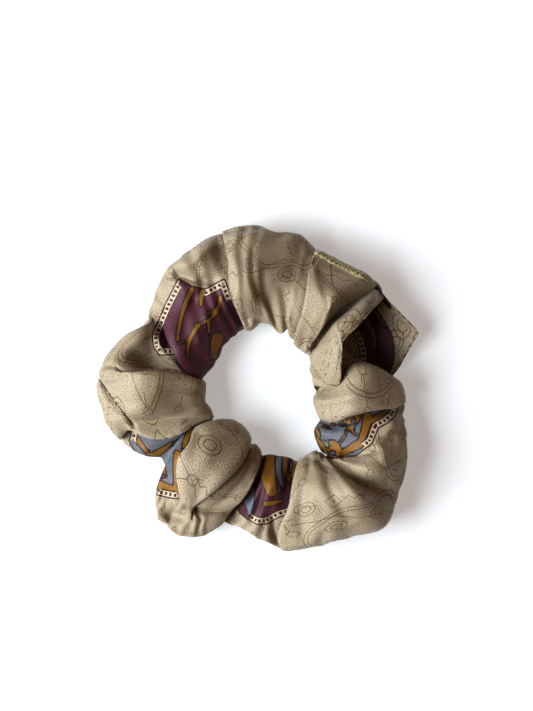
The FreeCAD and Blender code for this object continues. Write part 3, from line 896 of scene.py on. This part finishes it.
def silk_material():
    """Cream silk twill, a fine line drawing, the print's bright patches, and painted shade at hollows and
    folds.
    """
    graph = Graph("printed_silk")
    place = graph.node("ShaderNodeUVMap", {"uv_map": "cloth"}).outputs["UV"]
    wander = graph.node("ShaderNodeTexNoise", Vector=place, Scale=0.09, Detail=1.0).outputs["Color"]
    wander = graph.vector("MULTIPLY", graph.vector("SUBTRACT", wander, (0.5, 0.5, 0.5)), (1.6, 1.6, 0))
    bent = graph.vector("ADD", place, wander)

    cloth = graph.mix(graph.noise(place, 0.05), CREAM_WARM, CREAM)
    near_motifs = small_motifs(graph, bent, 10.5, (0, 0, 0))
    drawing = graph.least(near_motifs, small_motifs(graph, bent, 19.0, (5.0, 3.0, 0)))
    drawing = graph.least(drawing, long_lines(graph, bent))
    faded = graph.math("MULTIPLY_ADD", graph.noise(place, 0.4), 0.6, 0.45)
    cloth = graph.mix(graph.line(drawing, 0.14) * faded, cloth, DRAWING)

    ragged = (graph.noise(place, 1.6) - 0.5) * 0.3
    patch_tone = graph.mix(graph.field("print_ground"), PLUM_INK, STEEL_INK)
    patch_tone = graph.mix(graph.noise(place, 0.5) * 0.7, patch_tone, DARK_INK_AND_SHADE)
    for name, shade in (("plum", PLUM_INK), ("steel", STEEL_INK), ("gold", GOLD_INK)):
        reach = graph.field("print_" + name) + ragged
        flecked = graph.mix(graph.noise(place, 1.1) * 0.35, shade, DARK_INK_AND_SHADE)
        patch_tone = graph.mix(graph.step(reach, -0.5, -0.34), patch_tone, DARK_INK_AND_SHADE)
        patch_tone = graph.mix(graph.step(reach, -0.02, 0.12), patch_tone, flecked)
    # painted shade: black marks in the patches' hollows and creases
    patch_tone = graph.mix(graph.step(graph.field("print_painted_shade"), -0.1, 0.1), patch_tone, PAINTED_SHADE_BLACK)

    patch = graph.field("print_patch") + ragged * 0.5
    border = graph.step(graph.field("print_border"), 0.45, 0.55)
    band = border * graph.step(patch, BORDER + 0.08, BORDER - 0.08)
    half_spacing = DOT_SPACING / 2
    dot_along = half_spacing - graph.math("PINGPONG", graph.field("print_along"), half_spacing)
    dot = graph.most(dot_along, abs(patch - BORDER / 2) * 0.8)
    patch_tone = graph.mix(band, patch_tone, BORDER_INK)
    patch_tone = graph.mix(band * graph.step(dot, 0.5, 0.36), patch_tone, DARK_INK_AND_SHADE)
    patch_tone = graph.mix(border * graph.line(patch - BORDER, 0.22), patch_tone, DARK_INK_AND_SHADE)
    cloth = graph.mix(graph.step(patch, -0.06, 0.06), cloth, patch_tone)
    # a dark line round each patch: printed outline along the dotted border, painted shade along the other
    # sides, where a fold or lip meets the patch
    cloth = graph.mix(graph.line(patch, 0.24), cloth, DARK_INK_AND_SHADE)
    # dark lines on the cream: painted crease shade with a printed line at the L puff's fold, a printed
    # border, and a dark line at the cuff's edge
    cloth = graph.mix(graph.step(graph.field("print_line"), -0.25, 0.05), cloth, DARK_INK_AND_SHADE)

    grain = graph.noise(place, 3.1, 2.0)
    twill = graph.wave(place, "DIAGONAL", 0.62, 0.7, Detail=1.0, Detail_Scale=1.5)
    speckled = graph.math("MULTIPLY_ADD", grain, 2.7, -0.43) + twill * 0.18
    lit = graph.node("ShaderNodeMix", {"data_type": "RGBA", "blend_type": "MULTIPLY"})
    lit.inputs["Factor"].default_value = 1.0
    graph.feed(lit.inputs["A"], cloth)
    graph.feed(lit.inputs["B"], speckled)
    height = twill * 0.4 + grain
    return graph.finish(lit.outputs["Result"], height, 0.25, 0.0002, Roughness=0.55, Specular_IOR_Level=0.35,
                        Sheen_Weight=0.15, Sheen_Roughness=0.4)


def build_sleeve():
    """The sleeve's cloth, with its thickness."""
    grid, row_of = sleeve_grid()
    grid = relax_as_cloth(grid)
    grid[:, :, 2] = np.maximum(grid[:, :, 2], FLOOR_GAP)
    mesh = grid_mesh("sleeve", grid)
    sleeve = bpy.data.objects.new("sleeve", mesh)
    bpy.context.scene.collection.objects.link(sleeve)
    mesh.materials.append(silk_material())
    store_fields(mesh, print_fields(grid, row_of))
    solidify = sleeve.modifiers.new("thickness", "SOLIDIFY")
    solidify.thickness = CLOTH_THICKNESS
    solidify.offset = 0
    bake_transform(sleeve)
    return sleeve, grid, row_of


def surface_frames(grid, row, columns):
    """Places along a row of the sleeve and the way out of the cloth there."""
    here = grid[row, columns]
    around = grid[row, (columns + 1) % grid.shape[1]] - grid[row, (columns - 1) % grid.shape[1]]
    along = grid[min(row + 1, grid.shape[0] - 1), columns] - grid[max(row - 1, 0), columns]
    out = np.cross(along, around)
    return here, out / np.maximum(np.linalg.norm(out, axis=1, keepdims=True), 1e-9)


def tube_mesh(paths, radius, sides=7, is_closed=False):
    """One mesh of tubes that follow paths in mm. Open tubes narrow to their ends."""
    places, faces = [], []
    for path in paths:
        path = np.asarray(path, float)
        ahead = np.gradient(path, axis=0)
        if is_closed:
            ahead = np.roll(path, -1, axis=0) - np.roll(path, 1, axis=0)
        ahead /= np.maximum(np.linalg.norm(ahead, axis=1, keepdims=True), 1e-9)
        side = np.cross(ahead, (0.0, 0.0, 1.0))
        short = np.linalg.norm(side, axis=1) < 0.05
        side[short] = np.cross(ahead[short], (1.0, 0.0, 0.0))
        side /= np.linalg.norm(side, axis=1, keepdims=True)
        up = np.cross(side, ahead)
        size = np.full(len(path), radius)
        if not is_closed:
            size[0] = size[-1] = radius * 0.35
        base, count = len(places), len(path)
        for i in range(count):
            for k in range(sides):
                turn = 2 * math.pi * k / sides
                places.append(path[i] + size[i] * (math.cos(turn) * side[i] + math.sin(turn) * up[i]))
        for i in range(count if is_closed else count - 1):
            a, b = base + i * sides, base + (i + 1) % count * sides
            faces += [(a + k, a + (k + 1) % sides, b + (k + 1) % sides, b + k) for k in range(sides)]
        if not is_closed:
            faces.append(tuple(base + k for k in reversed(range(sides))))
            faces.append(tuple(base + (count - 1) * sides + k for k in range(sides)))
    return places, faces


def add_piece(name, places, faces, material):
    """A smooth shaded piece made of points in mm."""
    mesh = bpy.data.meshes.new(name)
    mesh.from_pydata((np.array(places) * MM).tolist(), [], faces)
    mesh.materials.append(material)
    mesh.shade_smooth()
    piece = bpy.data.objects.new(name, mesh)
    bpy.context.scene.collection.objects.link(piece)
    return piece


def stitch_paths(line, out, length, gap, sink=0.12, lift=0.16):
    """Short arched stitches along a line on the cloth: each dips into it at both ends."""
    line, out = np.asarray(line, float), np.asarray(out, float)
    walked = np.concatenate([[0], np.cumsum(np.linalg.norm(np.diff(line, axis=0), axis=1))])
    paths = []
    start = gap
    while start + length < walked[-1]:
        at = start + length * np.array([0, 0.2, 0.5, 0.8, 1.0])
        rise = np.array([-sink, lift * 0.8, lift, lift * 0.8, -sink])
        place = np.column_stack([np.interp(at, walked, line[:, axis]) for axis in range(3)])
        away = np.column_stack([np.interp(at, walked, out[:, axis]) for axis in range(3)])
        paths.append(place + away * rise[:, None])
        start += length + gap
    return paths


def thread_material(name, shade):
    """Twisted cotton thread."""
    graph = Graph(name)
    place = graph.node("ShaderNodeTexCoord").outputs["Object"]
    mottle = graph.noise(place, 2500.0, 2.0)
    tone = graph.mix(mottle, tuple(0.6 * c for c in shade[:3]) + (1.0,), shade)
    twist = graph.wave(place, "DIAGONAL", 2600.0, 1.0)
    return graph.finish(tone, twist, 0.5, 0.0001, Roughness=0.7, Sheen_Weight=0.2)


def hem_material(name, shade, light):
    """The silk of a rolled or pressed edge, mottled by the print that is folded into it."""
    graph = Graph(name)
    place = graph.node("ShaderNodeTexCoord").outputs["Object"]
    tone = graph.mix(graph.step(graph.noise(place, 700.0, 3.0), 0.38, 0.62), shade, light)
    return graph.finish(tone, graph.noise(place, 2600.0, 2.0), 0.5, 0.0002, Roughness=0.6, Sheen_Weight=0.15)


def braid_material():
    """White elastic braid: rubber cords under a woven cotton cover."""
    graph = Graph("elastic_braid")
    place = graph.node("ShaderNodeTexCoord").outputs["Object"]
    tone = graph.mix(graph.noise(place, 1200.0, 3.0), BRAID_SHADE, BRAID_WHITE)
    return graph.finish(tone, graph.wave(place, "Z", 900.0, 2.0), 0.6, 0.0002, Roughness=0.8)


def near(turn, place, width=0.35):
    """1 where an angle is at a place round the ring, and 0 away from it."""
    off = (turn - place + math.pi) % (2 * math.pi) - math.pi
    return np.exp(-(off / width) ** 2)


def elastic_line(turn):
    """The elastic's radius and the height of its middle."""
    bulge = near(turn, ELASTIC_BULGE_AT)
    dent = near(turn, ELASTIC_JOIN + 0.1)
    radius = ELASTIC_RADIUS + ELASTIC_BULGE * bulge - ELASTIC_DENT * dent
    return radius, ELASTIC_HIGH - ELASTIC_DIP * (bulge + dent)


def round_elastic(radius, turn, height):
    """A place about the elastic's middle."""
    return (ELASTIC_MIDDLE[0] + radius * math.cos(turn), ELASTIC_MIDDLE[1] + radius * math.sin(turn), height)


def build_elastic():
    """A flat braided band on its edge, lapped and joined, with its plaits in relief."""
    lap = ELASTIC_LAP / 2 / ELASTIC_RADIUS
    first, last = ELASTIC_JOIN - lap, ELASTIC_JOIN + 2 * math.pi + lap
    turn = np.linspace(first, last, ELASTIC_STEPS)
    radius, middle = elastic_line(turn)
    joggle = ELASTIC_THICK / 2 + 0.05
    inward, outward = (np.clip(1.6 - off / (2 * lap), 0, 1) for off in (turn - first, last - turn))
    radius = radius - joggle * inward + joggle * outward
    places, faces = [], []
    for i in range(len(turn)):
        for k in range(ELASTIC_SIDES):
            around = 2 * math.pi * k / ELASTIC_SIDES
            wide = math.copysign(abs(math.cos(around)) ** 0.35, math.cos(around))
            high = math.copysign(abs(math.sin(around)) ** 0.7, math.sin(around))
            z = ELASTIC_WIDE / 2 * high
            walked = turn[i] * ELASTIC_RADIUS * 2 * math.pi / 1.6 + abs(z) * 3
            plait = 0.10 * math.sin(z * 2 * math.pi / 1.0) * math.sin(walked)
            out = radius[i] + (ELASTIC_THICK / 2 + plait) * wide
            places.append(round_elastic(out, turn[i], middle[i] + z))
    for i in range(len(turn) - 1):
        a, b = i * ELASTIC_SIDES, (i + 1) * ELASTIC_SIDES
        for k in range(ELASTIC_SIDES):
            n = (k + 1) % ELASTIC_SIDES
            faces.append((a + k, b + k, b + n, a + n))
    faces.append(tuple(range(ELASTIC_SIDES)))
    faces.append(tuple(reversed(range(len(places) - ELASTIC_SIDES, len(places)))))
    return add_piece("elastic", places, faces, braid_material())


def build_join_stitches(thread):
    """Two zigzag rows, front and back, through the elastic's lapped ends."""
    paths = []
    for face in (-1, 1):
        for part in (-0.3, 0.3):
            zigzag = []
            for i in range(15):
                swing = (0.35 if i % 2 else -0.35) / ELASTIC_RADIUS * 2
                turn = ELASTIC_JOIN + part * ELASTIC_LAP / ELASTIC_RADIUS + swing
                radius, middle = elastic_line(turn)
                height = middle + ELASTIC_WIDE * (i / 14 - 0.5) * 0.85
                zigzag.append(round_elastic(radius + face * (ELASTIC_THICK + 0.2), turn, height))
            paths.append(zigzag)
    return add_piece("elastic_join_stitches", *tube_mesh(paths, 0.16, 6), thread)


def build_hem(grid, thread):
    """The cuff's rolled hem and its stitches."""
    around = np.arange(grid.shape[1])
    line, _ = surface_frames(grid, 0, around)
    roll = tube_mesh([line], 0.3, 8, is_closed=True)
    hem = add_piece("cuff_hem_roll", *roll, hem_material("hem_silk", HEM_SHADE, HEM_CREAM))
    line, out = surface_frames(grid, 2, around)
    stitches = tube_mesh(stitch_paths(line, out, 1.5, 0.6), 0.13, 6)
    return hem, add_piece("cuff_hem_stitches", *stitches, thread)


def build_side_seam(grid, thread):
    """The long seam's stitches, on the sleeve's underside."""
    spine = grid[SEAM_START:-6, TOP_POINTS + UNDER_POINTS // 2]
    down = np.tile((0.0, 0.0, -1.0), (len(spine), 1))
    stitches = tube_mesh(stitch_paths(spine, down, 2.0, 0.7, 0.2, 0.08), 0.13, 6)
    return add_piece("side_seam_stitches", *stitches, thread)


def build_closed_edge(grid, row_of, thread):
    """The pinched edge that closes the seam, above the cuff, and its two rows of stitches."""
    ridge = range(row_of["cuff_crest"] - 3, row_of["pleat_ridge"] + EDGE_ROWS)
    middle, away, across = [], [], []
    for row in ridge:
        here, out = surface_frames(grid, row, np.array([EDGE_COLUMN]))
        over = grid[row, EDGE_COLUMN + 4] - grid[row, EDGE_COLUMN - 4]
        middle.append(here[0])
        away.append(out[0])
        across.append(over / np.linalg.norm(over))
    middle, away, across = (free_path(each, 3 * len(ridge)) for each in (middle, away, across))
    places, sides = [], 14
    for i, place in enumerate(middle):
        share = math.sin(math.pi * (i + 0.5) / len(middle)) ** 0.3
        wide = EDGE_WIDE * share * (1 + 0.12 * math.sin(i * 1.3))
        for k in range(sides):
            turn = 2 * math.pi * k / sides
            rise = away[i] * EDGE_THICK * share * math.sin(turn)
            places.append(place + across[i] * wide * math.cos(turn) + rise)
    faces = tube_faces(len(middle), sides)
    faces += [tuple(range(sides)), tuple(reversed(range(len(places) - sides, len(places))))]
    edge = add_piece("closed_edge", places, faces, hem_material("edge_silk", EDGE_SHADE, EDGE_CREAM))
    paths = []
    for side in (-0.5, 0.55):
        line = middle + away * EDGE_THICK * 0.8 + across * EDGE_WIDE * side
        paths += stitch_paths(line, away, 1.2, 0.4)
    return edge, add_piece("closing_stitches", *tube_mesh(paths, 0.17, 6), thread)


def build_floor():
    """A plain pale table."""
    mesh = bpy.data.meshes.new("floor")
    half = 3.0
    corners = [(-half, -half, 0), (half, -half, 0), (half, half, 0), (-half, half, 0)]
    mesh.from_pydata(corners, [], [(0, 1, 2, 3)])
    floor = bpy.data.objects.new("floor", mesh)
    bpy.context.scene.collection.objects.link(floor)
    material = bpy.data.materials.new("floor")
    material.use_nodes = True
    shader = material.node_tree.nodes["Principled BSDF"]
    shader.inputs["Base Color"].default_value = (0.56, 0.6, 0.64, 1)
    shader.inputs["Emission Color"].default_value = (1, 1, 1, 1)
    shader.inputs["Emission Strength"].default_value = 0.4
    shader.inputs["Roughness"].default_value = 0.9
    mesh.materials.append(material)


def area_light(name, place, size, watts, colour):
    """A soft square light that looks at the ring."""
    data = bpy.data.lights.new(name, "AREA")
    data.size = size
    data.energy = watts
    data.color = colour
    light = bpy.data.objects.new(name, data)
    light.location = place
    light.rotation_euler = (-Vector(place)).to_track_quat("-Z", "Y").to_euler()
    bpy.context.scene.collection.objects.link(light)


def build_light():
    """A room with warm walls and one soft white window at the left."""
    world = bpy.data.worlds.new("room")
    world.use_nodes = True
    world.node_tree.nodes["Background"].inputs["Color"].default_value = (1, 0.57, 0.3, 1)
    world.node_tree.nodes["Background"].inputs["Strength"].default_value = 0.21
    bpy.context.scene.world = world
    area_light("window", (-0.88, -0.18, 0.74), 0.9, 35.0, (0.91, 0.96, 1.0))
    bpy.context.scene.view_settings.view_transform = "Standard"
    bpy.context.scene.view_settings.gamma = 0.82


def build_camera():
    """Straight above the ring, framed with the ring low and a little left in a tall picture."""
    camera = bpy.data.objects.new("camera", bpy.data.cameras.new("camera"))
    camera.data.lens = LENS
    camera.data.sensor_width = SENSOR
    camera.data.sensor_fit = "VERTICAL"
    camera.data.sensor_height = SENSOR
    height = VIEW_HEIGHT * MM * LENS / SENSOR + VIEW_LEVEL * MM
    camera.location = (VIEW_MIDDLE[0] * MM, VIEW_MIDDLE[1] * MM, height)
    bpy.context.scene.collection.objects.link(camera)
    bpy.context.scene.camera = camera


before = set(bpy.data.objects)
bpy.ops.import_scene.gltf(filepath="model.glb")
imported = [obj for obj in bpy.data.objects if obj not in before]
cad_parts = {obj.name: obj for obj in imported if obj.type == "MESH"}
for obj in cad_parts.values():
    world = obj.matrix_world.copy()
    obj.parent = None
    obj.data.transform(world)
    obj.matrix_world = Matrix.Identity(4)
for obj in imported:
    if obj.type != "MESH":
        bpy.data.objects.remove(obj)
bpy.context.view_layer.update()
sleeve, grid, row_of = build_sleeve()
thread = thread_material("seam_thread", THREAD)
green_thread = thread_material("closing_thread", THREAD_GREEN)
hem, hem_stitches = build_hem(grid, thread)
seam = build_side_seam(grid, thread)
closed_edge, closing = build_closed_edge(grid, row_of, green_thread)
elastic = build_elastic()
join = build_join_stitches(thread)
for piece in (hem, hem_stitches, seam, closed_edge, closing, elastic, join):
    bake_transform(piece)
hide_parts("sleeve_left", "sleeve_right")
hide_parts("cuff_hem_thread")
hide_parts("closing_seam_thread")
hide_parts("side_seam_thread_left", "side_seam_thread_right")
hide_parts("elastic_left", "elastic_right")
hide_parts("elastic_join_thread")
build_floor()
build_light()
build_camera()
